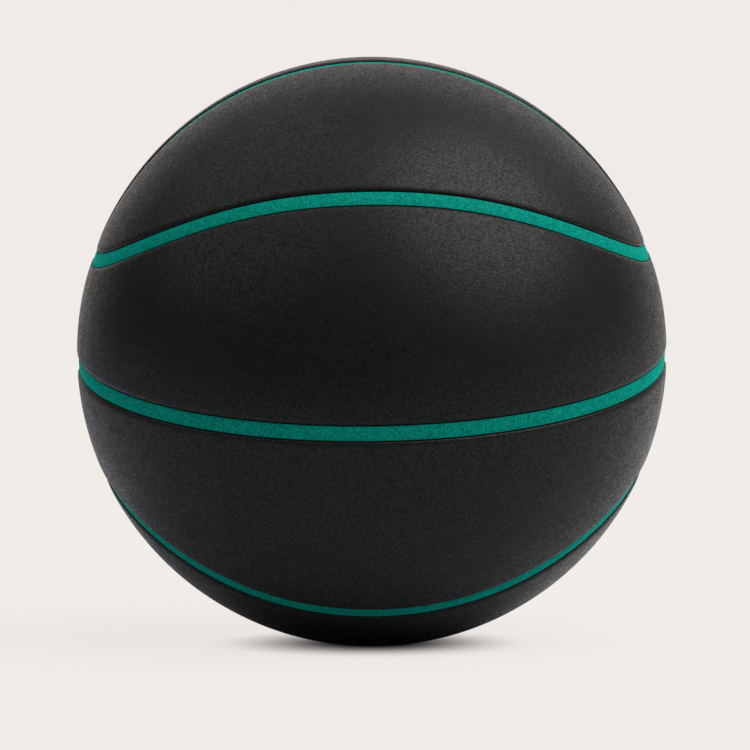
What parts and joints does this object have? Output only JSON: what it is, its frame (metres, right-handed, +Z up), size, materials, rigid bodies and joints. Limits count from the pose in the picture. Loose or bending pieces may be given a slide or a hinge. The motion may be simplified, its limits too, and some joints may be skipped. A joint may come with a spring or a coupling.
{
  "type": "foam basketball",
  "caption": "Soft foam basketball with matte black skin panels, softly rolled panel edges and teal lines in shallow channels, resting on its own flattened foot.",
  "frame": {"origin": "middle of the flat contact patch on the floor, under the ball's centre", "axes": "+Z up from the floor, -Y towards the picture's viewer, +X to the viewer's right"},
  "size_m": [0.2396, 0.24, 0.239],
  "materials": {
    "skin_black": "matte",
    "line_teal": "satin",
    "raw_foam": "matte"
  },
  "bodies": {
    "root": {"foam_core": "raw_foam", "top_front_panel": "skin_black", "top_rear_panel": "skin_black", "upper_front_panel": "skin_black", "upper_rear_panel": "skin_black", "lower_front_panel": "skin_black", "lower_rear_panel": "skin_black", "bottom_front_panel": "skin_black", "bottom_rear_panel": "skin_black", "crown_line": "line_teal", "belt_line_front": "line_teal", "belt_line_rear": "line_teal", "upper_loop_line_front": "line_teal", "upper_loop_line_rear": "line_teal", "lower_loop_line_front": "line_teal", "lower_loop_line_rear": "line_teal"}
  },
  "joints": []
}
